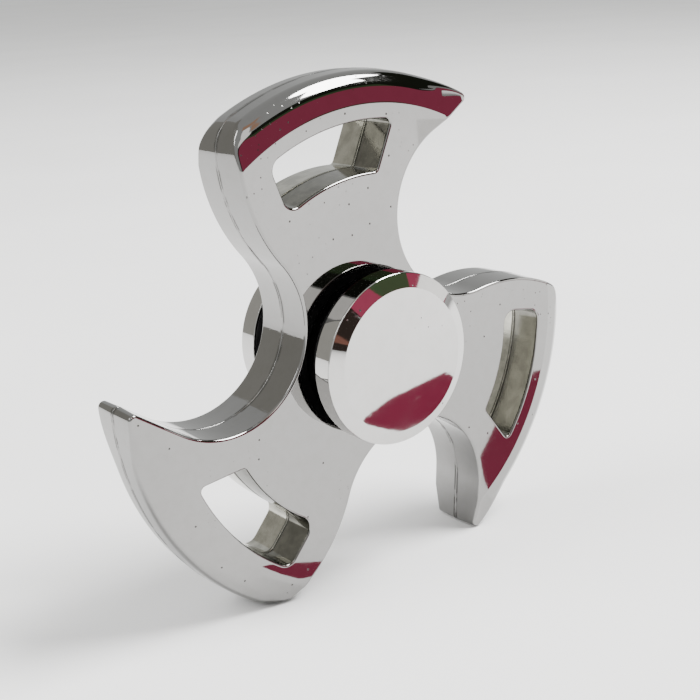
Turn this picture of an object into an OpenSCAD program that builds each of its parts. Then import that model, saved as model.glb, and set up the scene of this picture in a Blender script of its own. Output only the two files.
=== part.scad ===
// Three-bladed fidget spinner.
// Two chromed shells, glued edge to edge, hold a 608 ball bearing and three arm weights.
// A finger cap with a dark plastic core is pressed into each side of the bearing's bore.
// The spin axis lies along Y with its middle at the origin, the front faces -Y, and the
// spinner stands on the tip of one blade and the heel of the next.

/* [Body] */
// Diameter of the circle that the blade rims lie on
rim_d = 75; // [74:0.5:77]
// Thickness of the body at its flat faces
body_t = 10; // [9.6:0.1:11]
// Radius at which the bevel of each face starts
bevel_inner_r = 33.3; // [32.8:0.1:34]
// Radius at which the bevel ends and the rounded rim starts
bevel_outer_r = 36.2; // [35.5:0.1:36.5]
// How far the bevel falls from the face
bevel_drop = 0.9; // [0.5:0.1:1.5]
// Radius of the rounded edge of the rim
rim_round = 1.2; // [0.8:0.1:1.4]
// Turn that stands the spinner on a tip and a heel
stand_angle = 24.7; // [-60:0.1:60]

/* [Bites between the blades] */
// Radius of each round bite
bite_r = 12.3; // [11.8:0.1:12.6]
// Distance of each bite's centre from the spin axis
bite_offset = 24.55; // [24.4:0.05:25]
// Direction of the first bite's centre, in the blade's own frame
bite_angle = 20; // [18:0.5:22]

/* [Blade ends] */
// Direction of the pointed tip of a blade, in its own frame
tip_angle = 33.8; // [31.5:0.1:35]
// Radius of the rounded point of the tip
tip_round = 0.9; // [0.5:0.1:1.2]
// Radius of the rounded heel corner
heel_round = 5; // [3:0.1:6]
// Radius of the bowed heel edge
heel_bow_r = 24; // [18:0.5:30]
// How far round the bite its arc runs before the bowed heel edge starts
heel_bow_angle = 15; // [14:0.5:22]

/* [Windows] */
// Radius of the window's inner arc
window_inner_r = 24.5; // [23.8:0.1:25.2]
// Radius of the window's outer arc
window_outer_r = 31.1; // [30:0.1:31.6]
// Direction of the window's corners at the heel end: inner arc
window_heel_inner_angle = 96.4; // [94:0.1:98]
// Direction of the window's corners at the heel end: outer arc
window_heel_outer_angle = 94; // [92:0.5:95]
// Direction of the window's corners at the tip end: inner arc
window_tip_inner_angle = 61.6; // [60:0.1:66]
// Direction of the window's corners at the tip end: outer arc
window_tip_outer_angle = 57.3; // [56.5:0.1:62]
// Radius of the window's heel corners
window_heel_round = 1.6; // [0.6:0.1:2]
// Radius of the window's tip corners
window_tip_round = 0.6; // [0.3:0.1:1.2]

/* [Caps] */
// Diameter of a finger cap
cap_d = 23.4; // [22.6:0.1:24.2]
// Gap between the body's face and the cap's rear rim
cap_gap = 2.1; // [1.4:0.1:3.2]
// Height of the cap's round side
cap_side_h = 2.9; // [2.6:0.1:3.6]
// Radial width of the cap's bevel
cap_bevel_w = 1.9; // [1:0.1:2.2]
// Height of the cap's bevel
cap_bevel_h = 1; // [0.8:0.1:1.6]
// Wall of the chromed cup
cap_wall = 1; // [0.8:0.1:1.2]
// Diameter of the core's shoulder, which bears on the bearing's inner ring
core_shoulder_d = 11.6; // [10.5:0.1:11.8]

/* [Bearing] */
// Outside diameter of the ball bearing
bearing_d = 22; // [22:0.5:22]
// Bore of the ball bearing
bearing_bore_d = 8; // [8:0.5:8]
// Width of the ball bearing
bearing_w = 7; // [7:0.5:7]
// Diameter of a ball
ball_d = 3.969; // [3.969:0.001:3.969]
// Diameter of the circle that the ball centres lie on
ball_pitch_d = 15; // [15:0.5:15]
// Diameter of the inner ring's shoulders
inner_ring_d = 12.1; // [12:0.1:12.2]
// Diameter of the outer ring's shoulders
outer_ring_shoulder_d = 17.9; // [17.8:0.1:18]

/* [Arm weights] */
// Diameter of an arm weight
weight_d = 10; // [8:0.5:10]
// Thickness of an arm weight
weight_t = 6.4; // [5:0.1:7]
// Distance of each weight from the spin axis
weight_offset = 17.9; // [17.6:0.1:18.2]
// Direction of each weight, in the blade's own frame
weight_angle = 78; // [76:1:80]

/* [Hidden] */
$fn = 96;
BLADES = 3;
BALLS = 7;
BLADE_TURN = 360 / BLADES;
BALL_TURN = 360 / BALLS;

rim_r = rim_d / 2;
half_t = body_t / 2;
ball_r = ball_d / 2;
pitch_r = ball_pitch_d / 2;
cap_r = cap_d / 2;
cap_rear = half_t + cap_gap;
cap_h = cap_side_h + cap_bevel_h;

// Clearances and small hidden features
groove_clearance = 0.0155; // between a ball and either race
pocket_clearance = 0.065; // between a ball and the cage
lip_clearance = 0.1;     // between a seal's lip and the inner ring
weight_clearance = 0.05; // round an arm weight in its pocket
bearing_lip = 0.9;       // how far each shell's lip laps over the outer ring
cage_sheet = 0.35;       // thickness of the pressed cage
cage_inner_r = 6.55;
cage_outer_r = 8.45;
rivet_r = 0.35;
rivet_head_r = 0.6;
rivet_head_h = 0.25;
seal_t = 0.7;
seal_recess = 0.15;      // how far a seal sits below the bearing's face
seal_outer_r = 9.7;
ring_chamfer = 0.3;
post_clearance = 0.01;   // between a cap's post and the bearing's bore
post_end_gap = 0.1;      // from each post's end to the mid-plane
core_recess = 0.3;       // how far the core's disc sits inside the cup's rear rim
peg_r = 1.2;
peg_h = 1.6;
peg_clearance = 0.05;
peg_offset = 34.3;
peg_angle = 78;

// ---- Points and directions in the plane ----

function unit(a) = [cos(a), sin(a)];
function direction(v) = atan2(v[1], v[0]);
function left_of(v) = [-v[1], v[0]];

function near(a) = a - 360 * round(a / 360);

// Points along an arc about c, from direction a round to direction b the short way,
// no more than step degrees apart
function arc(c, r, a, b, step) =
    let (turn = near(b - a), n = max(1, ceil(abs(turn) / step)))
    [for (i = [0:n]) c + r * unit(a + turn * i / n)];

// The left one, seen from the first centre towards the second, of the points where the circle
// about c with radius r meets the circle about d with radius s
function meet(c, r, d, s) =
    let (v = d - c, l = norm(v), x = (l * l + r * r - s * s) / (2 * l))
    c + (x * v + sqrt(r * r - x * x) * left_of(v)) / l;

// Centre of the fillet between a circle of radius r about the axis and the line through p
// along d. n points from the line into the region. side is -1 inside the circle, 1 outside it.
function corner_centre(p, d, n, r, fillet, side) =
    let (q = p + fillet * n, b = q * d)
    q + (-b + sqrt(b * b - q * q + pow(r + side * fillet, 2))) * d;

// ---- Outline of the body, seen from the front ----

module each_blade() {
    for (k = [0:BLADES - 1]) rotate(k * BLADE_TURN) children();
}

function turned(p, a) = [p[0] * cos(a) - p[1] * sin(a), p[0] * sin(a) + p[1] * cos(a)];

// The bite past the tip, with the straight edge that runs from it to the tip
bite_c = bite_offset * unit(bite_angle);
tip = rim_r * unit(tip_angle);
tip_touch = direction(tip - bite_c) + acos(bite_r / norm(tip - bite_c));
tip_edge = unit(direction(tip - bite_c - bite_r * unit(tip_touch)));
tip_c = corner_centre(tip, tip_edge, left_of(tip_edge), rim_r, tip_round, -1);

// The bowed heel edge, which runs out of the bite before the heel
heel_c = turned(bite_c, BLADE_TURN) + (bite_r + heel_bow_r) * unit(heel_bow_angle);
heel_corner_c = meet([0, 0], rim_r - heel_round, heel_c, heel_bow_r - heel_round);

blade_outline = concat(
    arc(heel_c, heel_bow_r, 180 + heel_bow_angle, direction(heel_corner_c - heel_c), 3),
    arc(heel_corner_c, heel_round, direction(heel_corner_c - heel_c), direction(heel_corner_c), 6),
    arc([0, 0], rim_r, direction(heel_corner_c), direction(tip_c), 2),
    arc(tip_c, tip_round, direction(tip_c), direction(-left_of(tip_edge)), 15),
    arc(bite_c, bite_r, tip_touch, 180, 5),
    arc(bite_c, bite_r, 180, 360 - BLADE_TURN + heel_bow_angle, 5)
);

module body_plan() {
    polygon([for (k = [0:BLADES - 1]) for (p = blade_outline) turned(p, -k * BLADE_TURN)]);
}

window_heel_p = window_inner_r * unit(window_heel_inner_angle);
window_heel_d = unit(direction(window_outer_r * unit(window_heel_outer_angle) - window_heel_p));
window_tip_p = window_inner_r * unit(window_tip_inner_angle);
window_tip_d = unit(direction(window_outer_r * unit(window_tip_outer_angle) - window_tip_p));

// Fillet at the end of a window: end is its edge's point and direction and the normal into the
// window, side is -1 at the outer arc and 1 at the inner one
function window_corner(end, fillet, side) =
    let (
        c = corner_centre(end[0], end[1], end[2], side < 0 ? window_outer_r : window_inner_r,
                          fillet, side),
        a = direction(c) + (side < 0 ? 0 : 180)
    )
    arc(c, fillet, direction(-end[2]), a, 15);

function reversed(points) = [for (i = [len(points) - 1:-1:0]) points[i]];

module window_plan() {
    heel = [window_heel_p, window_heel_d, -left_of(window_heel_d)];
    tip = [window_tip_p, window_tip_d, left_of(window_tip_d)];
    outer_heel = window_corner(heel, window_heel_round, -1);
    outer_tip = window_corner(tip, window_tip_round, -1);
    inner_tip = window_corner(tip, window_tip_round, 1);
    inner_heel = window_corner(heel, window_heel_round, 1);
    axis = [0, 0];
    polygon(concat(
        outer_heel,
        arc(axis, window_outer_r, direction(outer_heel[len(outer_heel) - 1]),
            direction(outer_tip[len(outer_tip) - 1]), 3),
        reversed(outer_tip),
        inner_tip,
        arc(axis, window_inner_r, direction(inner_tip[len(inner_tip) - 1]),
            direction(inner_heel[len(inner_heel) - 1]), 3),
        reversed(inner_heel)
    ));
}

// ---- Placing: drawings lie in XY and stand up with their +Z turned to the front, -Y ----

module stand() { rotate([90, 0, 0]) rotate(stand_angle) children(); }
module upright() { rotate([90, 0, 0]) children(); }
module to_rear() { rotate([0, 0, 180]) children(); }

// ---- Shells ----

// Solid of revolution that gives a shell its bevelled face and rounded rim
module shell_envelope() {
    edge_z = half_t - bevel_drop;
    round_c = [rim_r - rim_round, edge_z - rim_round];
    rotate_extrude($fn = 180)
        polygon(concat(
            [[0, -1], [rim_r + 1, -1], [rim_r + 1, half_t - 4]],
            [for (a = [7.5:17.5:60]) round_c + rim_round * unit(a)],
            [[bevel_outer_r, edge_z], [bevel_inner_r, half_t], [0, half_t]]
        ));
}

module peg_places() { each_blade() translate(peg_offset * unit(peg_angle)) children(); }

module weight_place() { translate(weight_offset * unit(weight_angle)) children(); }

// One shell, drawn with its joint face on z = 0 and its outer face up
module shell() {
    difference() {
        intersection() {
            linear_extrude(body_t) body_plan();
            shell_envelope();
        }
        translate([0, 0, -1]) linear_extrude(body_t) each_blade() window_plan();
        translate([0, 0, -1]) cylinder(r = bearing_d / 2, h = 1 + bearing_w / 2);
        translate([0, 0, -1]) cylinder(r = bearing_d / 2 - bearing_lip, h = body_t);
        each_blade() weight_place()
            translate([0, 0, -1])
                cylinder(r = weight_d / 2 + weight_clearance, h = 1 + weight_t / 2 + weight_clearance);
    }
}

module front_shell() {
    color("silver") stand() {
        shell();
        peg_places() translate([0, 0, -peg_h]) cylinder(r = peg_r, h = peg_h + 0.5, $fn = 32);
    }
}

// The rear shell is the front one reflected in the joint face, with sockets for the pegs
module rear_shell() {
    color("silver") stand() difference() {
        mirror([0, 0, 1]) shell();
        peg_places() translate([0, 0, -peg_h - peg_clearance])
            cylinder(r = peg_r + peg_clearance, h = peg_h + 1, $fn = 32);
    }
}

module arm_weight(k) {
    r = weight_d / 2;
    h = weight_t / 2;
    color("dimgray") stand() rotate((k - 1) * BLADE_TURN) weight_place()
        rotate_extrude()
            polygon([[0, -h], [r - ring_chamfer, -h], [r, -h + ring_chamfer],
                     [r, h - ring_chamfer], [r - ring_chamfer, h], [0, h]]);
}

// ---- Ball bearing ----

module race_groove() {
    rotate_extrude() translate([pitch_r, 0]) circle(ball_r + groove_clearance, $fn = 64);
}

module bearing_outer_ring() {
    r = bearing_d / 2;
    w = bearing_w / 2;
    seat = w - seal_recess - seal_t;
    color("gainsboro") upright() difference() {
        rotate_extrude() polygon([
            [outer_ring_shoulder_d / 2, -seat], [seal_outer_r, -seat], [seal_outer_r, -w],
            [r - ring_chamfer, -w], [r, -w + ring_chamfer], [r, w - ring_chamfer],
            [r - ring_chamfer, w], [seal_outer_r, w], [seal_outer_r, seat],
            [outer_ring_shoulder_d / 2, seat]
        ]);
        race_groove();
    }
}

module bearing_inner_ring() {
    bore = bearing_bore_d / 2;
    r = inner_ring_d / 2;
    w = bearing_w / 2;
    color("gainsboro") upright() difference() {
        rotate_extrude() polygon([
            [bore, -w + ring_chamfer], [bore + ring_chamfer, -w], [r, -w], [r, w],
            [bore + ring_chamfer, w], [bore, w - ring_chamfer]
        ]);
        race_groove();
    }
}

module ball(k) {
    color("white") upright() rotate((k - 1) * BALL_TURN) translate([pitch_r, 0, 0])
        sphere(ball_r, $fn = 48);
}

module rivet_places() {
    for (k = [0:BALLS - 1]) rotate((k + 0.5) * BALL_TURN) translate([pitch_r, 0, 0]) children();
}

// Half of the pressed cage, with its joint face on z = 0: a flat ring with seven ball pockets
module cage_half() {
    pocket_r = ball_r + pocket_clearance;
    difference() {
        intersection() {
            union() {
                cylinder(r = cage_outer_r, h = cage_sheet);
                for (k = [0:BALLS - 1]) rotate(k * BALL_TURN) translate([pitch_r, 0, 0])
                    sphere(pocket_r + cage_sheet, $fn = 48);
            }
            difference() {
                cylinder(r = cage_outer_r, h = pitch_r);
                translate([0, 0, -1]) cylinder(r = cage_inner_r, h = pitch_r + 2);
            }
        }
        for (k = [0:BALLS - 1]) rotate(k * BALL_TURN) translate([pitch_r, 0, 0])
            sphere(pocket_r, $fn = 48);
        rivet_places() translate([0, 0, -1]) cylinder(r = rivet_r, h = 3, $fn = 24);
    }
}

module cage_front() { color("silver") upright() cage_half(); }

module cage_rear() { color("silver") upright() mirror([0, 0, 1]) cage_half(); }

module cage_rivets() {
    grip = cage_sheet;
    color("silver") upright() rivet_places() {
        translate([0, 0, -grip]) cylinder(r = rivet_r, h = 2 * grip, $fn = 24);
        for (z = [-grip - rivet_head_h, grip])
            translate([0, 0, z]) cylinder(r = rivet_head_r, h = rivet_head_h, $fn = 24);
    }
}

module seal() {
    z = bearing_w / 2 - seal_recess - seal_t;
    upright() translate([0, 0, z]) difference() {
        cylinder(r = seal_outer_r, h = seal_t);
        translate([0, 0, -1]) cylinder(r = inner_ring_d / 2 + lip_clearance, h = seal_t + 2);
    }
}

module front_seal() { color("black") seal(); }

module rear_seal() { color("black") to_rear() seal(); }

// ---- Finger caps ----

// Chromed cup with a bevelled face, open towards the body
module cap() {
    inner_r = cap_r - cap_wall;
    color("silver") upright() translate([0, 0, cap_rear]) rotate_extrude($fn = 128) polygon([
        [inner_r, 0], [cap_r, 0], [cap_r, cap_side_h], [cap_r - cap_bevel_w, cap_h],
        [0, cap_h], [0, cap_h - cap_wall], [inner_r - cap_bevel_w, cap_h - cap_wall],
        [inner_r, cap_side_h - cap_wall / 2]
    ]);
}

module front_cap() { cap(); }

module rear_cap() { to_rear() cap(); }

// Dark core: fills the cup, bears on the inner ring and carries the post in its bore
module cap_core() {
    inner_r = cap_r - cap_wall;
    post_r = bearing_bore_d / 2 - post_clearance;
    shoulder_r = core_shoulder_d / 2;
    top = cap_rear + cap_h - cap_wall;
    color([0.08, 0.08, 0.09]) upright() rotate_extrude($fn = 96) polygon([
        [0, post_end_gap], [post_r - ring_chamfer, post_end_gap],
        [post_r, post_end_gap + ring_chamfer], [post_r, bearing_w / 2],
        [shoulder_r, bearing_w / 2], [shoulder_r, cap_rear + core_recess],
        [inner_r, cap_rear + core_recess], [inner_r, cap_rear + cap_side_h - cap_wall / 2],
        [inner_r - cap_bevel_w, top], [0, top]
    ]);
}

module front_cap_core() { cap_core(); }

module rear_cap_core() { to_rear() cap_core(); }

// ---- Nodes ----

front_shell();
rear_shell();
for (k = [1:BLADES])
    arm_weight(k);
bearing_outer_ring();
bearing_inner_ring();
for (k = [1:BALLS])
    ball(k);
cage_front();
cage_rear();
cage_rivets();
front_seal();
rear_seal();
front_cap();
rear_cap();
front_cap_core();
rear_cap_core();
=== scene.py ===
"""Looks of the chromed fidget spinner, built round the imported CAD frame.

Lengths are millimetres until a mesh is written, which scales them by MM. A drawing of the body
lies in the plane (u, v) with h towards the viewer, as in part.scad: blade frame first, then
turned by STAND_ANGLE. World x = u, z = v, and y = -h on the front half or +h on the rear half.
"""

import math

import bpy
import numpy as np
from mathutils import Matrix, Vector, noise
from mathutils.geometry import delaunay_2d_cdt


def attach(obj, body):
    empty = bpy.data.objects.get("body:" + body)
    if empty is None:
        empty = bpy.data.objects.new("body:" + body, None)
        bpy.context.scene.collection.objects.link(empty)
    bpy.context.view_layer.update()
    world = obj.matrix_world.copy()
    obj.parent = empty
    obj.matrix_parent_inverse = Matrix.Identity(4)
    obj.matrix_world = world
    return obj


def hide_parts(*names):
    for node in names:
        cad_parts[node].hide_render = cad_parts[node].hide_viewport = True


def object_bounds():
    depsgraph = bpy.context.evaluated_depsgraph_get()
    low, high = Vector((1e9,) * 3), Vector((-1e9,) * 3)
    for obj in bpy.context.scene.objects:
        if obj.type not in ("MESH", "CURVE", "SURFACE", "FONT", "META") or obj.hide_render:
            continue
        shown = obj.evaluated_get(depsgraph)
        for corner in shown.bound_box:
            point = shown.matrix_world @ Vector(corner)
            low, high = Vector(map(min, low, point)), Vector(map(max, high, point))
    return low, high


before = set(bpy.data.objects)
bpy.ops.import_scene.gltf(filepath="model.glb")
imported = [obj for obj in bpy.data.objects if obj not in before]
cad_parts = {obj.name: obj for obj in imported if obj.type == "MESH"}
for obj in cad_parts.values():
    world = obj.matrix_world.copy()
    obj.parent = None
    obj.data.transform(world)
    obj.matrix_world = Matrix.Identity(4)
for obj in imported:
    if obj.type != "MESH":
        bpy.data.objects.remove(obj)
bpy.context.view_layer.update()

MM = 0.001

# ---- Sizes of the body, as in part.scad ----

RIM_R = 37.5
HALF_T = 5.0
BEVEL_INNER_R = 33.3
BEVEL_OUTER_R = 36.2
BEVEL_DROP = 0.9
STAND_ANGLE = 24.7
BITE_R = 12.3
BITE_OFFSET = 24.55
BITE_ANGLE = 20
TIP_ANGLE = 33.8
TIP_ROUND = 0.9
HEEL_ROUND = 5
HEEL_BOW_R = 24
HEEL_BOW_ANGLE = 15
WINDOW_INNER_R = 24.5
WINDOW_OUTER_R = 31.1
WINDOW_HEEL_ANGLES = (96.4, 94)
WINDOW_TIP_ANGLES = (61.6, 57.3)
WINDOW_HEEL_ROUND = 1.6
WINDOW_TIP_ROUND = 0.6
BLADES = 3
BLADE_TURN = 360 / BLADES

BEARING_R = 11
BEARING_HALF_W = 3.5
BORE_R = 10.1
WEIGHT_POCKET_R = 5.05
WEIGHT_POCKET_H = 3.25
WEIGHT_OFFSET = 17.9
WEIGHT_ANGLE = 78
PEG_R = 1.2
PEG_H = 1.6
PEG_CLEARANCE = 0.05
PEG_OFFSET = 34.3
PEG_ANGLE = 78

CAP_R = 11.7
CAP_REAR = HALF_T + 2.1
CAP_SIDE_H = 2.9
CAP_BEVEL_W = 1.9
CAP_BEVEL_H = 1.0
CAP_WALL = 1.0
CAP_LIP = 0.35
CORE_RECESS = 0.06
CORE_SHOULDER_R = 5.8
POST_R = 3.99
POST_END = 0.1

# ---- Finish of the edges ----

EDGE_ROUND = 0.42        # rounding along bites, heels and tips
RIM_ROUND = 2.1          # rounding along the rim
WINDOW_EDGE_ROUND = 0.35
BORE_EDGE_ROUND = 0.3
CREASE = 0.09            # half the width of the softened crease at each end of the bevel
DRAFT = 1.3              # draft of the walls in degrees, so the two halves catch different light
SEAM_ROUND = 0.10        # rounding of each half at the glued joint
SEAM_CHIP = 0.34         # how much deeper the worst chips of the joint go
STEP = 0.35              # spacing of points along an outline


# ---- Plane geometry ----

def unit(degrees):
    a = math.radians(degrees)
    return np.array([math.cos(a), math.sin(a)])


def direction(v):
    return math.degrees(math.atan2(v[1], v[0]))


def left_of(v):
    return np.array([-v[1], v[0]])


def near(degrees):
    return degrees - 360 * round(degrees / 360)


def turned(points, degrees):
    c, s = unit(degrees)
    points = np.asarray(points, float)
    return points @ np.array([[c, s], [-s, c]])


def corner_centre(p, d, n, r, fillet, side):
    """Centre of the fillet between a circle of radius r about the axis and the line through p
    along d. n points from the line into the region; side is -1 inside the circle, 1 outside."""
    q = p + fillet * n
    b = q @ d
    return q + (-b + math.sqrt(b * b - q @ q + (r + side * fillet) ** 2)) * d


def meet(c, r, d, s):
    """The left one of the points where the circle (c, r) meets the circle (d, s)."""
    v = np.asarray(d) - np.asarray(c)
    length = math.hypot(*v)
    x = (length * length + r * r - s * s) / (2 * length)
    return np.asarray(c) + (x * v + math.sqrt(r * r - x * x) * left_of(v)) / length


class Outline:
    """A closed loop of points with the normal that points out of the material, and the
    rounding of its front edge at each point."""

    def __init__(self):
        self.points, self.normals, self.rounds = [], [], []

    def add(self, point, normal, rounding):
        self.points.append(point)
        self.normals.append(normal)
        self.rounds.append(rounding)

    def arc(self, centre, radius, start, turn, out, rounding):
        """Points from direction start through turn degrees. out is 1 where the material is on
        the centre's side. rounding is a number or a function of the share of the arc passed."""
        n = max(2, math.ceil(abs(math.radians(turn)) * radius / STEP))
        for i in range(n):
            d = unit(start + turn * i / n)
            share = i / n
            size = rounding(share) if callable(rounding) else rounding
            self.add(centre + radius * d, out * d, size)

    def line(self, a, b, normal, rounding):
        n = max(1, math.ceil(math.hypot(*(b - a)) / STEP))
        for i in range(n):
            self.add(a + (b - a) * i / n, normal, rounding)

    def arrays(self, turn=0):
        return turned(self.points, turn), turned(self.normals, turn), np.array(self.rounds, float)


def smooth(x):
    x = min(max(x, 0), 1)
    return x * x * (3 - 2 * x)


def body_outline():
    """The three blades, clockwise as seen from the front."""
    bite_c = BITE_OFFSET * unit(BITE_ANGLE)
    tip = RIM_R * unit(TIP_ANGLE)
    reach = math.degrees(math.acos(BITE_R / math.hypot(*(tip - bite_c))))
    tip_touch = direction(tip - bite_c) + reach
    touch_point = bite_c + BITE_R * unit(tip_touch)
    tip_edge = unit(direction(tip - touch_point))
    tip_c = corner_centre(tip, tip_edge, left_of(tip_edge), RIM_R, TIP_ROUND, -1)
    heel_c = turned(bite_c, BLADE_TURN) + (BITE_R + HEEL_BOW_R) * unit(HEEL_BOW_ANGLE)
    corner_c = meet([0, 0], RIM_R - HEEL_ROUND, heel_c, HEEL_BOW_R - HEEL_ROUND)
    heel_end = direction(corner_c - heel_c)
    rim_start, rim_end = direction(corner_c), direction(tip_c)
    tip_end = direction(-left_of(tip_edge))

    def to_rim(share):
        return EDGE_ROUND + (RIM_ROUND - EDGE_ROUND) * smooth(share * 1.25 - 0.1)

    def along_rim(share):
        return EDGE_ROUND + (RIM_ROUND - EDGE_ROUND) * smooth((1 - share) * 4.2)

    one = Outline()
    one.arc(heel_c, HEEL_BOW_R, 180 + HEEL_BOW_ANGLE,
            near(heel_end - 180 - HEEL_BOW_ANGLE), 1, EDGE_ROUND)
    one.arc(corner_c, HEEL_ROUND, heel_end, near(rim_start - heel_end), 1, to_rim)
    one.arc(np.zeros(2), RIM_R, rim_start, near(rim_end - rim_start), 1, along_rim)
    one.arc(tip_c, TIP_ROUND, rim_end, near(tip_end - rim_end), 1, EDGE_ROUND)
    one.line(tip_c + TIP_ROUND * unit(tip_end), touch_point, -left_of(tip_edge), EDGE_ROUND)
    one.arc(bite_c, BITE_R, tip_touch, 360 - BLADE_TURN + HEEL_BOW_ANGLE - tip_touch, -1, EDGE_ROUND)

    whole = Outline()
    for k in range(BLADES):
        points, normals, rounds = one.arrays(-k * BLADE_TURN)
        whole.points += list(points)
        whole.normals += list(normals)
        whole.rounds += list(rounds)
    return whole


def window_outline():
    heel_p = WINDOW_INNER_R * unit(WINDOW_HEEL_ANGLES[0])
    heel_d = unit(direction(WINDOW_OUTER_R * unit(WINDOW_HEEL_ANGLES[1]) - heel_p))
    tip_p = WINDOW_INNER_R * unit(WINDOW_TIP_ANGLES[0])
    tip_d = unit(direction(WINDOW_OUTER_R * unit(WINDOW_TIP_ANGLES[1]) - tip_p))
    heel_n, tip_n = -left_of(heel_d), left_of(tip_d)
    outer_heel = corner_centre(heel_p, heel_d, heel_n, WINDOW_OUTER_R, WINDOW_HEEL_ROUND, -1)
    outer_tip = corner_centre(tip_p, tip_d, tip_n, WINDOW_OUTER_R, WINDOW_TIP_ROUND, -1)
    inner_tip = corner_centre(tip_p, tip_d, tip_n, WINDOW_INNER_R, WINDOW_TIP_ROUND, 1)
    inner_heel = corner_centre(heel_p, heel_d, heel_n, WINDOW_INNER_R, WINDOW_HEEL_ROUND, 1)
    heel_side, tip_side = direction(-heel_n), direction(-tip_n)
    e = WINDOW_EDGE_ROUND

    def corner(c, r, start, end):
        loop.arc(c, r, start, near(end - start), -1, e)

    loop = Outline()
    corner(outer_heel, WINDOW_HEEL_ROUND, heel_side, direction(outer_heel))
    loop.arc(np.zeros(2), WINDOW_OUTER_R, direction(outer_heel),
             near(direction(outer_tip) - direction(outer_heel)), -1, e)
    corner(outer_tip, WINDOW_TIP_ROUND, direction(outer_tip), tip_side)
    loop.line(outer_tip - WINDOW_TIP_ROUND * tip_n, inner_tip - WINDOW_TIP_ROUND * tip_n, tip_n, e)
    corner(inner_tip, WINDOW_TIP_ROUND, tip_side, direction(inner_tip) + 180)
    loop.arc(np.zeros(2), WINDOW_INNER_R, direction(inner_tip),
             near(direction(inner_heel) - direction(inner_tip)), 1, e)
    corner(inner_heel, WINDOW_HEEL_ROUND, direction(inner_heel) + 180, heel_side)
    loop.line(inner_heel - WINDOW_HEEL_ROUND * heel_n, outer_heel - WINDOW_HEEL_ROUND * heel_n,
              heel_n, e)
    return loop


def circle(radius, centre=(0, 0), out=1, step=STEP, rounding=0.0):
    loop = Outline()
    n = math.ceil(2 * math.pi * radius / step)
    for i in range(n):
        d = unit(360 * i / n)
        loop.add(np.asarray(centre) + radius * d, out * d, rounding)
    return loop


# ---- Meshes made of patches that share places but keep their own normals ----

class Surface:
    def __init__(self):
        self.points, self.normals, self.faces = [], [], []
        self.recess, self.recessed = [], 0.0

    def ring(self, plan, height, normals):
        """Adds a loop of points at the given heights and returns their numbers."""
        first = len(self.points)
        height = np.broadcast_to(height, (len(plan),))
        for p, h, n in zip(plan, height, normals):
            self.points.append((p[0], p[1], h))
            self.normals.append(n)
            self.recess.append(self.recessed)
        return list(range(first, len(self.points)))

    def strip(self, a, b):
        n = len(a)
        for i in range(n):
            j = (i + 1) % n
            self.faces.append((a[i], a[j], b[j], b[i]))

    def fan(self, ring, centre, normal):
        self.points.append(centre)
        self.normals.append(normal)
        self.recess.append(self.recessed)
        c = len(self.points) - 1
        for i in range(len(ring)):
            self.faces.append((ring[i], ring[(i + 1) % len(ring)], c))

    def fill(self, outer, holes, height, normal, guides=()):
        """Triangulates the plan between loops of point numbers. height and normal are functions
        of a plan point. guides are open polylines that the triangles follow."""
        loops = [outer] + list(holes)
        plan, edges, number = [], [], []
        for loop in loops:
            first = len(plan)
            plan += [Vector(self.points[i][:2]) for i in loop]
            number += loop
            edges += [(first + i, first + (i + 1) % len(loop)) for i in range(len(loop))]
        for line in guides:
            first = len(plan)
            plan += [Vector(p) for p in line]
            number += [None] * len(line)
            edges += [(first + i, first + i + 1) for i in range(len(line) - 1)]
        out, _, faces, origin, _, _ = delaunay_2d_cdt(plan, edges, [], 0, 1e-7, True)
        index = []
        for p, source in zip(out, origin):
            known = [number[i] for i in source if number[i] is not None]
            if known:
                index.append(known[0])
            else:
                index.append(len(self.points))
                self.points.append((p[0], p[1], height(p)))
                self.normals.append(normal(p))
                self.recess.append(0.0)
        centres = np.array([[sum(out[i][k] for i in f) / 3 for k in (0, 1)] for f in faces])
        rings = [np.array([self.points[i][:2] for i in loop]) for loop in loops]
        keep = inside(centres, rings[0])
        for ring in rings[1:]:
            keep &= ~inside(centres, ring)
        for f, k in zip(faces, keep):
            if k:
                self.faces.append(tuple(index[i] for i in f))

    def mesh(self, name, mirror=False):
        """Writes a mesh with welded points and each corner's own normal."""
        points = np.array(self.points, float)
        normals = np.array(self.normals, float)
        normals /= np.linalg.norm(normals, axis=1)[:, None]
        side = 1 if mirror else -1
        place = np.stack([points[:, 0], side * points[:, 2], points[:, 1]], 1)
        facing = np.stack([normals[:, 0], side * normals[:, 2], normals[:, 1]], 1)
        _, first, welded = np.unique(np.round(place, 4), axis=0, return_index=True, return_inverse=True)
        welded = welded.ravel()
        faces, corners = [], []
        for f in self.faces:
            ids = []
            for i in f:
                if not ids or (welded[i] != welded[ids[-1]] and welded[i] != welded[ids[0]]):
                    ids.append(i)
            if len(ids) < 3:
                continue
            a, b, c = (place[ids[k]] for k in (0, 1, 2))
            if np.dot(np.cross(b - a, c - a), facing[ids].mean(axis=0)) < 0:
                ids.reverse()
            faces.append([int(welded[i]) for i in ids])
            corners += [tuple(facing[i]) for i in ids]
        mesh = bpy.data.meshes.new(name)
        mesh.from_pydata([tuple(p * MM) for p in place[first]], [], faces)
        mesh.polygons.foreach_set("use_smooth", [True] * len(mesh.polygons))
        mesh.normals_split_custom_set(corners)
        # How far each point lies inside a window, where the plating is thin and dull and the colour is
        # darkened as painted shade
        recess = mesh.attributes.new("recess", "FLOAT", "POINT")
        recess.data.foreach_set("value", np.array(self.recess, np.float32)[first])
        mesh.update()
        return mesh


def inside(points, ring):
    """Which points lie inside a closed ring, by counting crossings."""
    x, y = points[:, 0], points[:, 1]
    odd = np.zeros(len(points), bool)
    for (x0, y0), (x1, y1) in zip(ring, np.roll(ring, -1, axis=0)):
        if y0 == y1:
            continue
        crosses = (y0 > y) != (y1 > y)
        odd ^= crosses & (x < (x1 - x0) * (y - y0) / (y1 - y0) + x0)
    return odd


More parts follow.
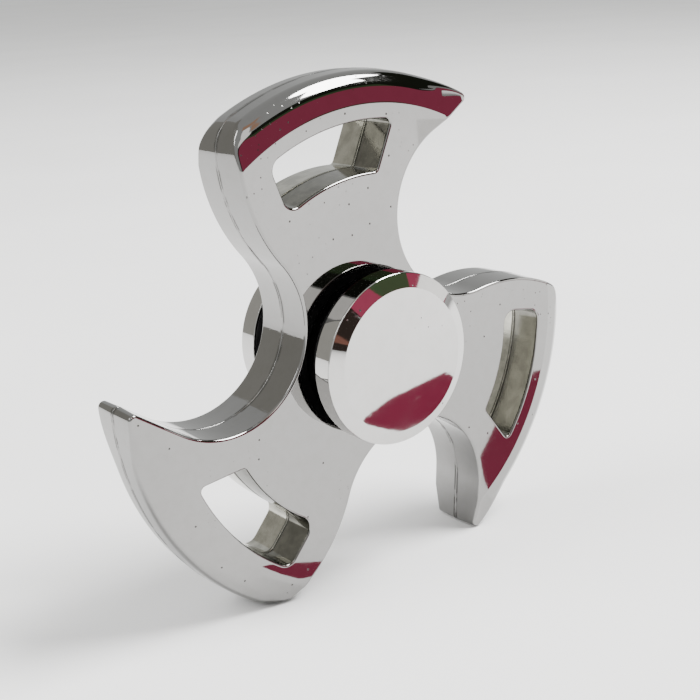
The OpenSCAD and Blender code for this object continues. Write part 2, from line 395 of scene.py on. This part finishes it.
def flat3(plan_normals, lean=0.0):
    """Wall normals: horizontal, leaned towards the viewer by lean degrees."""
    c, s = unit(lean)
    return np.column_stack([plan_normals * c, np.full(len(plan_normals), s)])


# ---- Shells ----

BEVEL_SLOPE = BEVEL_DROP / (BEVEL_OUTER_R - BEVEL_INNER_R)


def slope_at(r):
    """Slope of the face at radius r, softened over each crease of the bevel."""
    up = smooth((r - BEVEL_INNER_R + CREASE) / (2 * CREASE))
    down = smooth((r - BEVEL_OUTER_R + CREASE) / (2 * CREASE))
    return BEVEL_SLOPE * (up - down)


def face_height(p):
    r = math.hypot(p[0], p[1])
    return HALF_T - BEVEL_DROP * min(max((r - BEVEL_INNER_R) / (BEVEL_OUTER_R - BEVEL_INNER_R), 0), 1)


def face_normal(p):
    r = math.hypot(p[0], p[1])
    s = slope_at(r)
    return (s * p[0] / r, s * p[1] / r, 1)


def chips(points, seed):
    """Depth of the rounding at the joint: small, with a few ragged chips."""
    depth = []
    for p in points:
        coarse = noise.noise(Vector((p[0] * 0.16 + seed, p[1] * 0.16, seed)))
        fine = noise.noise(Vector((p[0] * 1.3, p[1] * 1.3 + seed, 3.1)))
        depth.append(SEAM_ROUND + SEAM_CHIP * smooth((coarse - 0.28) * 4) * (0.55 + 0.8 * fine))
    return np.clip(depth, SEAM_ROUND, SEAM_ROUND + SEAM_CHIP)


def edge_and_wall(surface, loop, seed, recessed=0.0):
    """Rounded front edge, drafted wall and chipped joint edge along one outline.
    Returns the innermost ring on the face and the ring on the joint face."""
    points, normals, rounds = loop
    rings = []
    drafted = math.tan(math.radians(DRAFT)) * HALF_T
    for tilt in np.linspace(DRAFT, 90, 9):
        c, s = unit(tilt)
        surface.recessed = recessed if tilt < 40 else 0.0
        plan = points - normals * (drafted + rounds * (1 - c))[:, None]
        height = np.array([face_height(p) for p in plan]) - rounds * (1 - s)
        slopes = np.array([slope_at(math.hypot(*p)) for p in plan])
        radial = plan / np.linalg.norm(plan, axis=1)[:, None]
        n3 = np.column_stack([normals * c + radial * (slopes * s)[:, None], np.full(len(plan), s)])
        rings.append(surface.ring(plan, height, n3))
    for a, b in zip(rings, rings[1:]):
        surface.strip(a, b)
    depth = chips(points, seed)
    surface.recessed = recessed
    lower = []
    for tilt in (0, -45, -80):
        c, s = unit(tilt)
        plan = points - normals * (depth * (1 - c))[:, None]
        lower.append(surface.ring(plan, depth * (1 + s), flat3(normals, tilt if tilt else DRAFT)))
    end = surface.ring(points - normals * depth[:, None], 0, flat3(normals, -85))
    for a, b in zip([rings[0]] + lower, lower + [end]):
        surface.strip(a, b)
    surface.recessed = 0.0
    return rings[-1], end


def pocket(surface, loop, depth):
    """Closed pocket (depth up) or peg (depth down) on the joint face."""
    points, normals, _ = loop
    side = np.sign(depth)
    walls = np.column_stack([normals * -side, np.zeros(len(points))])
    mouth = surface.ring(points, 0, walls)
    end = surface.ring(points, depth, walls)
    lid = surface.ring(points, depth, np.tile((0, 0, -1), (len(points), 1)))
    surface.strip(mouth, end)
    centre = points.mean(axis=0)
    surface.fan(lid, (centre[0], centre[1], depth), (0, 0, -1))


def crease_lines(outer):
    """Arcs along both sides of each crease, where they lie well inside the face."""
    lines = []
    for r in (BEVEL_INNER_R - CREASE, BEVEL_INNER_R + CREASE):
        ring = np.array([r * unit(a) for a in np.arange(0, 360, 0.5)])
        # Points that stay inside the face when moved a little either way round
        ok = inside(ring, outer) & inside(turned(ring, 0.7), outer) & inside(turned(ring, -0.7), outer)
        run = []
        start = int(np.argmin(ok))
        for i in range(len(ring) + 1):
            k = (start + i) % len(ring)
            if ok[k] and i < len(ring):
                run.append(ring[k])
            elif run:
                if len(run) > 1:
                    lines.append(run)
                run = []
    return lines


def shell(name, pegs, mirror, seed):
    surface = Surface()
    outer, outer_joint = edge_and_wall(surface, body_outline().arrays(STAND_ANGLE), seed)
    windows = []
    for k in range(BLADES):
        loop = window_outline().arrays(STAND_ANGLE - k * BLADE_TURN)
        windows.append(edge_and_wall(surface, loop, seed + k, 1.0))

    # Bore over the bearing: rounded mouth, lip, and the seat that holds the outer ring
    points, normals, _ = circle(BORE_R, out=-1).arrays()
    rings = []
    for tilt in np.linspace(0, 90, 6):
        c, s = unit(tilt)
        plan = points - normals * BORE_EDGE_ROUND * (1 - c)
        rings.append(surface.ring(plan, HALF_T - BORE_EDGE_ROUND * (1 - s),
                                  np.column_stack([normals * c, np.full(len(plan), s)])))
    lip = surface.ring(points, BEARING_HALF_W, flat3(normals))
    for a, b in zip([lip] + rings, rings):
        surface.strip(a, b)
    seat_points = points * BEARING_R / BORE_R
    down = np.tile((0, 0, -1), (len(points), 1))
    surface.strip(surface.ring(points, BEARING_HALF_W, down),
                  surface.ring(seat_points, BEARING_HALF_W, down))
    seat_foot = surface.ring(seat_points, 0, flat3(normals))
    surface.strip(surface.ring(seat_points, BEARING_HALF_W, flat3(normals)), seat_foot)

    plan = np.array([surface.points[i][:2] for i in outer])
    surface.fill(outer, [w[0] for w in windows] + [rings[-1]], face_height, face_normal,
                 crease_lines(plan))

    # Joint face, with the pockets for the arm weights and the pegs or their sockets
    holes = [w[1] for w in windows] + [seat_foot]
    peg_r = PEG_R if pegs else PEG_R + PEG_CLEARANCE
    peg_depth = -PEG_H if pegs else PEG_H + PEG_CLEARANCE
    for k in range(BLADES):
        turn = STAND_ANGLE - k * BLADE_TURN
        for centre, r, depth in (
            (WEIGHT_OFFSET * unit(WEIGHT_ANGLE), WEIGHT_POCKET_R, WEIGHT_POCKET_H),
            (PEG_OFFSET * unit(PEG_ANGLE), peg_r, peg_depth),
        ):
            loop = circle(r, centre).arrays(turn)
            mouth = surface.ring(loop[0], 0, np.tile((0, 0, -1), (len(loop[0]), 1)))
            pocket(surface, loop, depth)
            holes.append(mouth)
    flat = [surface.ring([surface.points[i][:2] for i in ring], 0, np.tile((0, 0, -1), (len(ring), 1)))
            for ring in [outer_joint] + holes]
    surface.fill(flat[0], flat[1:], lambda p: 0, lambda p: (0, 0, -1))
    return new_piece(name, surface.mesh(name, mirror))


# ---- Turned pieces ----

def rounded(corners):
    """Profile points (r, h) from corners (r, h, fillet), each fillet an arc of 7 points."""
    profile = []
    n = len(corners)
    for i, (r, h, fillet) in enumerate(corners):
        p = np.array([r, h], float)
        if fillet == 0 or i in (0, n - 1):
            profile.append(p)
            continue
        a = np.array(corners[i - 1][:2], float) - p
        b = np.array(corners[i + 1][:2], float) - p
        a /= np.linalg.norm(a)
        b /= np.linalg.norm(b)
        half = math.acos(np.clip(a @ b, -1, 1)) / 2
        reach = fillet / math.tan(half)
        centre = p + (a + b) / np.linalg.norm(a + b) * fillet / math.sin(half)
        start = direction(p + a * reach - centre)
        turn = near(direction(p + b * reach - centre) - start)
        profile += [centre + fillet * unit(start + turn * k / 6) for k in range(7)]
    return profile


def lathe(name, profile, segments=240, mirror=False):
    """Turns a profile of (r, h) about the spin axis. The profile runs with the material on its
    right, from the axis on the viewer's side round to the axis again."""
    profile = np.array(profile, float)
    run = np.diff(profile, axis=0)
    length = np.linalg.norm(run, axis=1)
    facing = np.column_stack([-run[:, 1], run[:, 0]]) / length[:, None] * -1
    sharp = math.cos(math.radians(40))
    surface = Surface()
    turn = [unit(360 * i / segments) for i in range(segments)]

    def end_normal(i, segment):
        other = i - 1 if segment == i else i
        if 0 <= other < len(run) and facing[segment] @ facing[other] > sharp:
            return facing[segment] * length[segment] + facing[other] * length[other]
        return facing[segment]

    def ring(i, segment):
        n = end_normal(i, segment)
        n = n / np.linalg.norm(n)
        r, h = profile[i]
        return surface.ring([r * d for d in turn], h, [(n[0] * d[0], n[0] * d[1], n[1]) for d in turn])

    for k in range(len(run)):
        if length[k] < 1e-6:
            continue
        if profile[k][0] < 1e-6:
            surface.fan(ring(k + 1, k), (0, 0, profile[k][1]), (0, 0, np.sign(facing[k][1])))
        elif profile[k + 1][0] < 1e-6:
            surface.fan(ring(k, k), (0, 0, profile[k + 1][1]), (0, 0, np.sign(facing[k][1])))
        else:
            surface.strip(ring(k, k), ring(k + 1, k))
    return new_piece(name, surface.mesh(name, mirror))


def cap_cup(name, mirror):
    """Chromed cup: gently domed disc, bevel, round side and open rear."""
    top = CAP_REAR + CAP_SIDE_H + CAP_BEVEL_H
    flat_r = CAP_R - CAP_BEVEL_W
    inner_r = CAP_R - CAP_WALL
    dome = 0.12
    disc = [(flat_r * k / 12, top - dome * (k / 12) ** 2) for k in range(12)]
    rim = rounded([
        (disc[-1][0], disc[-1][1], 0),
        (flat_r, top - dome, 0.16),
        (CAP_R, CAP_REAR + CAP_SIDE_H, 0.22),
        (CAP_R, CAP_REAR, 0.12),
        (CAP_R - CAP_LIP, CAP_REAR, 0.1),
        (inner_r, CAP_REAR + 0.9, 0.2),
        (inner_r, CAP_REAR + CAP_SIDE_H - CAP_WALL / 2, 0.2),
        (inner_r - CAP_BEVEL_W, top - CAP_WALL, 0.2),
        (0, top - CAP_WALL, 0),
    ])
    return lathe(name, disc + rim[1:], mirror=mirror)


def cap_core(name, mirror):
    """Dark core: disc inside the cup, shoulder on the inner ring and post in its bore."""
    top = CAP_REAR + CAP_SIDE_H + CAP_BEVEL_H - CAP_WALL
    inner_r = CAP_R - CAP_WALL
    foot = CAP_REAR + CORE_RECESS
    profile = rounded([
        (0, top, 0),
        (inner_r - CAP_BEVEL_W, top, 0),
        (inner_r, CAP_REAR + CAP_SIDE_H - CAP_WALL / 2, 0),
        (inner_r, CAP_REAR + 0.9, 0),
        (CAP_R - CAP_LIP - 0.02, foot, 0.08),
        (inner_r - 0.8, foot, 0.15),
        (inner_r - 1.1, foot + 0.35, 0.15),
        (CORE_SHOULDER_R + 1.2, foot + 0.35, 0.3),
        (CORE_SHOULDER_R + 0.9, foot, 0.2),
        (CORE_SHOULDER_R, foot, 0.25),
        (CORE_SHOULDER_R, BEARING_HALF_W, 0.2),
        (POST_R, BEARING_HALF_W, 0),
        (POST_R, POST_END, 0.3),
        (0, POST_END, 0),
    ])
    return lathe(name, profile, segments=160, mirror=mirror)


def new_piece(name, mesh):
    piece = bpy.data.objects.new(name, mesh)
    bpy.context.scene.collection.objects.link(piece)
    return piece


# ---- Materials ----

class Shader:
    """A new material with a Principled shader, and short calls for adding nodes to it."""

    def __init__(self, name, metallic=0.0, roughness=0.5):
        self.material = bpy.data.materials.new(name)
        self.material.use_nodes = True
        self.tree = self.material.node_tree
        self.bsdf = self.tree.nodes["Principled BSDF"]
        self.bsdf.inputs["Metallic"].default_value = metallic
        self.bsdf.inputs["Roughness"].default_value = roughness
        coords = self.add("ShaderNodeTexCoord")
        # Object coordinates in millimetres
        scale = self.add("ShaderNodeVectorMath", {0: coords.outputs["Object"], 1: (1 / MM,) * 3},
                         operation="MULTIPLY")
        self.mm = scale.outputs[0]

    def add(self, kind, inputs=None, **settings):
        node = self.tree.nodes.new(kind)
        for key, value in settings.items():
            setattr(node, key, value)
        for key, value in (inputs or {}).items():
            if isinstance(value, bpy.types.NodeSocket):
                self.tree.links.new(value, node.inputs[key])
            else:
                node.inputs[key].default_value = value
        return node

    def math(self, operation, a, b=0.0, clamp=False):
        return self.add("ShaderNodeMath", {0: a, 1: b}, operation=operation, use_clamp=clamp).outputs[0]

    def ramp(self, value, low, high, to_low=0.0, to_high=1.0):
        """Smooth step of value from low..high to to_low..to_high."""
        return self.add("ShaderNodeMapRange", {"Value": value, 1: low, 2: high, 3: to_low, 4: to_high},
                        interpolation_type="SMOOTHSTEP").outputs[0]

    def noise(self, scale, detail=2.0, roughness=0.5, vector=None):
        """Noise whose features are about 1/scale millimetres across."""
        return self.add("ShaderNodeTexNoise", {
            "Vector": vector or self.mm, "Scale": scale, "Detail": detail, "Roughness": roughness,
        }).outputs["Fac"]

    def stretched(self, factors):
        return self.add("ShaderNodeVectorMath", {0: self.mm, 1: factors}, operation="MULTIPLY").outputs[0]

    def mix(self, factor, a, b):
        node = self.add("ShaderNodeMix", {0: factor, 6: a, 7: b}, data_type="RGBA")
        return node.outputs[2]

    def bump(self, height, distance_mm, below=None):
        inputs = {"Height": height, "Distance": distance_mm * MM, "Strength": 1.0}
        if below is not None:
            inputs["Normal"] = below
        return self.add("ShaderNodeBump", inputs).outputs[0]

    def colour(self, value):
        self.tree.links.new(value, self.bsdf.inputs["Base Color"])

    def rough(self, value):
        self.tree.links.new(value, self.bsdf.inputs["Roughness"])

    def normal(self, value):
        self.tree.links.new(value, self.bsdf.inputs["Normal"])


def specks(shader, place, scale, share, radius, offset=(0, 0, 0)):
    """Mask of small round spots: cells of 1/scale mm, of which a share hold a spot."""
    moved = shader.add("ShaderNodeVectorMath", {0: place, 1: offset}, operation="ADD").outputs[0]
    cells = shader.add("ShaderNodeTexVoronoi", {"Vector": moved, "Scale": scale, "Randomness": 1.0},
                       voronoi_dimensions="2D")
    spot = shader.ramp(cells.outputs["Distance"], radius * 0.6, radius, 1.0, 0.0)
    pick = shader.add("ShaderNodeSeparateColor", {0: cells.outputs["Color"]}).outputs[0]
    return shader.math("MULTIPLY", spot, shader.math("LESS_THAN", pick, share))


def chrome(name, tone=1.0, pits=1.0, window_shade_tone=1.0, brushed=True):
    """Electroplated chrome: mirror with slow ripples, orange peel, pits, fine scuffs and a
    faintly warm cast, worn and darker at the glued joint, duller inside the windows and there also
    darkened as painted shade."""
    s = Shader(name, metallic=1.0, roughness=0.05)
    across, axis, up = s.add("ShaderNodeSeparateXYZ", {0: s.mm}).outputs[:3]
    facing = s.add("ShaderNodeSeparateXYZ",
                   {0: s.add("ShaderNodeNewGeometry").outputs["True Normal"]}).outputs[1]
    wall = s.ramp(s.math("ABSOLUTE", facing), 0.3, 0.1)
    face = s.ramp(s.math("ABSOLUTE", facing), 0.5, 0.8)
    recess = s.add("ShaderNodeAttribute", attribute_name="recess").outputs["Fac"]

    in_plan = s.add("ShaderNodeCombineXYZ", {0: across, 1: up, 2: 0.0}).outputs[0]
    dark_pits = specks(s, in_plan, 0.30, 0.20 * pits, 0.05)
    fine_pits = specks(s, in_plan, 0.85, 0.32 * pits, 0.10, (7.3, 4.2, 0.0))
    clusters = s.ramp(s.noise(0.09, 1.0), 0.5, 0.68)
    pit = s.math("MAXIMUM", dark_pits, s.math("MULTIPLY", fine_pits, clusters))
    pit = s.math("MULTIPLY", pit, face)

    low = tuple(tone * c for c in (0.80, 0.79, 0.775)) + (1,)
    high = tuple(tone * c for c in (0.87, 0.86, 0.845)) + (1,)
    cast = s.mix(s.noise(0.07, 1.0), low, high)
    grime = s.ramp(s.noise(0.6, 4.0, 0.7), 0.35, 0.8, 0.0, 0.22)
    cast = s.mix(grime, cast, tuple(tone * c for c in (0.62, 0.61, 0.57)) + (1,))
    # Painted shade inside the windows: their dull plating is also given a darker colour, by the tone set
    # for the windows
    dull_and_shaded = tuple(window_shade_tone * c for c in (0.60, 0.59, 0.52)) + (1,)
    cast = s.mix(recess, cast, s.mix(s.ramp(s.noise(0.5, 3.0, 0.6), 0.3, 0.7), dull_and_shaded,
                                     tuple(0.7 * c for c in dull_and_shaded[:3]) + (1,)))
    broken = s.ramp(s.noise(0.3, 3.0, 0.6), 0.42, 0.56)
    off_seam = s.math("SUBTRACT", s.math("ABSOLUTE", axis), s.math("MULTIPLY", recess, 0.22))
    line = s.ramp(off_seam, 0.07, 0.20, 0.9, 0.0)
    torn = s.math("MULTIPLY", s.ramp(s.math("ABSOLUTE", axis), 0.16, 0.55, 1.0, 0.0), broken)
    seam = s.math("MULTIPLY", s.math("MAXIMUM", line, torn), wall)
    dark = s.math("MAXIMUM", s.math("MULTIPLY", pit, 0.85), s.math("MULTIPLY", seam, 0.9), clamp=True)
    s.colour(s.mix(dark, cast, (0.030, 0.029, 0.025, 1)))

    scuff = s.ramp(s.noise(0.5, 6.0, 0.72, s.stretched((1.0, 0.3, 3.0))), 0.56, 0.80)
    smear = s.ramp(s.noise(0.11, 3.0, 0.6), 0.45, 0.75)
    rough = s.math("ADD", s.math("MULTIPLY", scuff, 0.10), s.math("MULTIPLY", smear, 0.05))
    rough = s.math("ADD", rough, 0.035)
    rough = s.math("ADD", rough, s.math("MULTIPLY", recess, 0.10))
    s.rough(s.math("ADD", rough, s.math("MULTIPLY", dark, 0.4), clamp=True))

    normal = s.bump(s.noise(0.09, 0.5), 0.030)
    normal = s.bump(s.noise(0.9, 1.0), 0.0009, normal)
    if brushed:
        lines = s.noise(1.6, 3.0, 0.6, s.stretched((1.0, 0.06, 1.0)))
        normal = s.bump(s.math("MULTIPLY", lines, wall), 0.010, normal)
    normal = s.bump(s.math("MULTIPLY", pit, -1.0), 0.008, normal)
    s.normal(normal)
    return s.material


def plastic(name, low, high, roughness, grain):
    """Moulded plastic or rubber: mottled colour, fine grain and dusty patches."""
    s = Shader(name, roughness=roughness)
    s.colour(s.mix(s.noise(0.8, 4.0, 0.6), low, high))
    s.rough(s.ramp(s.noise(0.5, 3.0), 0.3, 0.8, roughness - 0.08, roughness + 0.14))
    s.normal(s.bump(s.noise(grain, 2.0), 0.012))
    return s.material


def turned_steel(name, low, high, roughness, lines):
    """Ground or turned steel: fine rings about the spin axis and light stains."""
    s = Shader(name, metallic=1.0, roughness=roughness)
    parts = s.add("ShaderNodeSeparateXYZ", {0: s.mm})
    squares = [s.math("MULTIPLY", parts.outputs[k], parts.outputs[k]) for k in (0, 2)]
    radius = s.math("SQRT", s.math("ADD", *squares))
    ringed = s.add("ShaderNodeCombineXYZ", {0: radius, 1: parts.outputs[1], 2: 0.0}).outputs[0]
    grooves = s.noise(lines, 2.0, 0.6, ringed)
    s.colour(s.mix(s.noise(0.4, 3.0), low, high))
    s.rough(s.ramp(grooves, 0.3, 0.7, roughness - 0.06, roughness + 0.10))
    s.normal(s.bump(grooves, 0.004))
    return s.material


def polished_ball(name):
    s = Shader(name, metallic=1.0, roughness=0.06)
    s.colour(s.mix(s.noise(1.2, 3.0), (0.62, 0.62, 0.63, 1), (0.74, 0.73, 0.72, 1)))
    s.rough(s.ramp(s.noise(3.0, 4.0), 0.4, 0.8, 0.05, 0.16))
    return s.material


# ---- Pieces ----

# The front half's windows take a much darker tone than the rear's: painted shade
front_chrome = chrome("front_chrome", 0.32, window_shade_tone=0.34)
rear_chrome = chrome("rear_chrome", 0.35, window_shade_tone=0.90)
cap_chrome = chrome("cap_chrome", 0.62, pits=0.4, brushed=False)
core_plastic = plastic("core_plastic", (0.010, 0.010, 0.011, 1), (0.022, 0.022, 0.023, 1), 0.42, 5.0)
seal_rubber = plastic("seal_rubber", (0.014, 0.014, 0.014, 1), (0.030, 0.029, 0.028, 1), 0.6, 7.0)
bearing_steel = turned_steel("bearing_steel", (0.50, 0.50, 0.51, 1), (0.62, 0.61, 0.60, 1), 0.22, 9.0)
weight_steel = turned_steel("weight_steel", (0.26, 0.26, 0.27, 1), (0.36, 0.35, 0.34, 1), 0.38, 5.0)
cage_steel = turned_steel("cage_steel", (0.44, 0.43, 0.41, 1), (0.56, 0.55, 0.52, 1), 0.30, 7.0)
ball_steel = polished_ball("ball_steel")

PIECES = [
    (shell("front_shell_body", True, False, 1.7), "front_shell", "rotor", "chromed_plastic", front_chrome),
    (shell("rear_shell_body", False, True, 9.4), "rear_shell", "rotor", "chromed_plastic", rear_chrome),
    (cap_cup("front_cap_cup", False), "front_cap", "hub", "chromed_plastic", cap_chrome),
    (cap_cup("rear_cap_cup", True), "rear_cap", "hub", "chromed_plastic", cap_chrome),
    (cap_core("front_core_turned", False), "front_cap_core", "hub", "dark_core", core_plastic),
    (cap_core("rear_core_turned", True), "rear_cap_core", "hub", "dark_core", core_plastic),
]
for piece, node, body, slot, finish in PIECES:
    piece.data.materials.append(finish)
    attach(piece, body)
    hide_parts(node)

NODE_FINISH = {
    "arm_weight": weight_steel, "bearing": bearing_steel, "ball": ball_steel,
    "cage": cage_steel, "front_seal": seal_rubber, "rear_seal": seal_rubber,
}
for node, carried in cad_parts.items():
    for start, finish in NODE_FINISH.items():
        if node.startswith(start):
            carried.data.materials.clear()
            carried.data.materials.append(finish)


# ---- Studio ----

def stage_mesh(name, points, faces, material):
    mesh = bpy.data.meshes.new(name)
    mesh.from_pydata([tuple(np.asarray(p, float) * MM) for p in points], [], faces)
    mesh.materials.append(material)
    item = bpy.data.objects.new(name, mesh)
    bpy.context.scene.collection.objects.link(item)
    return item


def paper(name, low, high):
    s = Shader(name, roughness=0.85)
    s.colour(s.mix(s.noise(0.012, 2.0), low, high))
    s.normal(s.bump(s.noise(1.5, 4.0, 0.7), 0.03))
    return s.material


def glow(name, colour, strength):
    material = bpy.data.materials.new(name)
    material.use_nodes = True
    tree = material.node_tree
    tree.nodes.clear()
    light = tree.nodes.new("ShaderNodeEmission")
    light.inputs["Color"].default_value = (*colour, 1)
    light.inputs["Strength"].default_value = strength
    out = tree.nodes.new("ShaderNodeOutputMaterial")
    tree.links.new(light.outputs[0], out.inputs[0])
    return material


def spherical(azimuth, elevation):
    a, e = math.radians(azimuth), math.radians(elevation)
    return Vector((math.sin(a) * math.cos(e), -math.cos(a) * math.cos(e), math.sin(e)))


def only_reflected(item):
    """Surroundings that show in the chrome but not in the picture or in its soft light."""
    item.visible_camera = False
    item.visible_shadow = False
    item.visible_diffuse = False
    return item


def card(name, azimuths, elevations, colour, strength=1.0, distance=600):
    """Part of a sphere round the spinner that only its reflections see. elevations holds the
    lower and upper limit, and may go on with those at the second azimuth."""
    low, high, far_low, far_high = elevations if len(elevations) == 4 else elevations * 2
    points, faces = [], []
    n, m = 16, 8
    for i in range(n + 1):
        for j in range(m + 1):
            a = azimuths[0] + (azimuths[1] - azimuths[0]) * i / n
            bottom = low + (far_low - low) * i / n
            e = bottom + (high + (far_high - high) * i / n - bottom) * j / m
            points.append(spherical(a, e) * distance)
    for i in range(n):
        for j in range(m):
            k = i * (m + 1) + j
            faces.append((k, k + 1, k + m + 2, k + m + 1))
    return only_reflected(stage_mesh(name, points, faces, glow(name, colour, strength)))


def scrap(name, corners, height, colour, seed, torn=0.5):
    """Torn scrap lying over the floor that only the spinner's reflections see."""
    edge = []
    for a, b in zip(corners, corners[1:] + corners[:1]):
        a, b = Vector(a), Vector(b)
        n = max(1, round((b - a).length / 0.5))
        for i in range(n):
            p = a.lerp(b, i / n)
            rough = noise.noise(Vector((p[0] * 1.1, p[1] * 1.1, seed)))
            edge.append(p + Vector((-(b - a)[1], (b - a)[0])).normalized() * torn * rough)
    points, _, faces, _, _, _ = delaunay_2d_cdt(
        edge, [], [list(range(len(edge)))], 1, 1e-6, False)
    return only_reflected(stage_mesh(name, [(p[0], p[1], height) for p in points],
                                     [tuple(f) for f in faces], glow(name, colour, 1.0)))


def soft_light(name, azimuth, elevation, distance, size, power):
    data = bpy.data.lights.new(name, "AREA")
    data.shape = "DISK"
    data.size = size * MM
    data.energy = power
    lamp = bpy.data.objects.new(name, data)
    bpy.context.scene.collection.objects.link(lamp)
    place = spherical(azimuth, elevation) * distance * MM
    lamp.location = place
    lamp.rotation_euler = place.to_track_quat("Z", "Y").to_euler()


FLOOR_REACH = 6000
floor_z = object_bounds()[0][2] / MM
stage_mesh("floor", [(x, y, floor_z) for x, y in
                     ((-FLOOR_REACH, -FLOOR_REACH), (FLOOR_REACH, -FLOOR_REACH),
                      (FLOOR_REACH, FLOOR_REACH), (-FLOOR_REACH, FLOOR_REACH))],
           [(0, 1, 2, 3)], paper("floor_paper", (0.86, 0.855, 0.845, 1), (0.95, 0.945, 0.94, 1)))

world = bpy.data.worlds.new("studio")
bpy.context.scene.world = world
world.use_nodes = True
world.node_tree.nodes["Background"].inputs["Color"].default_value = (0.86, 0.87, 0.86, 1)
world.node_tree.nodes["Background"].inputs["Strength"].default_value = 0.85

soft_light("key", 60, 55, 900, 500, 21)
soft_light("fill", -110, 40, 900, 600, 7)

# The surroundings that the chrome mirrors, as ranges of azimuth and elevation. The two near
# cards stand close to the cap, so that mostly its bevel sees them.
CRIMSON = (0.62, 0.095, 0.18)
card("crimson", (3, 50), (2, 28, 2, 24), CRIMSON)
card("crimson_fold", (50, 78), (2, 24, 2, 10), CRIMSON)
card("leaves", (0, 50), (26, 35, 22, 31), (0.09, 0.15, 0.07), distance=610)
card("pale_wall", (60, 112), (8, 26), (0.60, 0.60, 0.58), distance=620)
card("dark_room", (-2, 112), (19, 46, 7, 46), (0.026, 0.030, 0.020), distance=640)
card("near_leaves", (22, 46), (20, 33), (0.10, 0.14, 0.07), distance=100)
card("near_paper", (44, 95), (8, 24), (1.0, 0.99, 0.97), 2.5, distance=60)
card("window_pane", (-32, -4), (29, 48), (1.0, 0.99, 0.97), 2.6)
card("lamp_shade", (-45, 8), (50, 62), (1.0, 0.60, 0.40), 0.9)
card("doorway", (-23, 2), (-1, 27), (0.055, 0.040, 0.034))
card("doorway_wood", (-19, -12), (10, 15), (0.50, 0.24, 0.15), distance=580)
card("doorway_cloth", (-21, -9), (3, 7), (0.36, 0.16, 0.12), distance=580)
card("back_wall", (-176, -96), (-3, 60), (0.50, 0.49, 0.45))

# Scraps of coloured cloth lie just over the floor, where the front faces mirror them
CLOTH = (0.42, 0.050, 0.11)
floor_top = floor_z + 0.3
scrap("scrap_far", [(30, -62), (46, -69), (65, -71), (60, -58), (46, -52), (33, -52)],
      floor_top, CLOTH, 1.0, 1.6)
scrap("scrap_right", [(29, -13), (38, -25), (54, -37), (76, -52), (84, -50), (60, -28), (42, -13)],
      floor_top, CRIMSON, 5.0, 1.3)
scrap("scrap_heel", [(-13, -17), (-5, -12), (-7, -9), (-11, -10)], floor_top, CRIMSON, 9.0, 0.8)

CAMERA_AZIMUTH = -37.11
CAMERA_ELEVATION = 17.02
CAMERA_ROLL = -2.93
CAMERA_DISTANCE = 186
CAMERA_TARGET = Vector((-0.47, 0.02, -0.73))
camera_data = bpy.data.cameras.new("camera")
camera_data.sensor_width = 36
camera_data.lens = 69.2
camera_data.clip_start = 0.005
camera_data.clip_end = 50
camera = bpy.data.objects.new("camera", camera_data)
bpy.context.scene.collection.objects.link(camera)
view_from = spherical(CAMERA_AZIMUTH, CAMERA_ELEVATION)
camera.matrix_world = (
    Matrix.Translation((CAMERA_TARGET + view_from * CAMERA_DISTANCE) * MM)
    @ view_from.to_track_quat("Z", "Y").to_matrix().to_4x4()
    @ Matrix.Rotation(math.radians(CAMERA_ROLL), 4, "Z")
)
bpy.context.scene.camera = camera
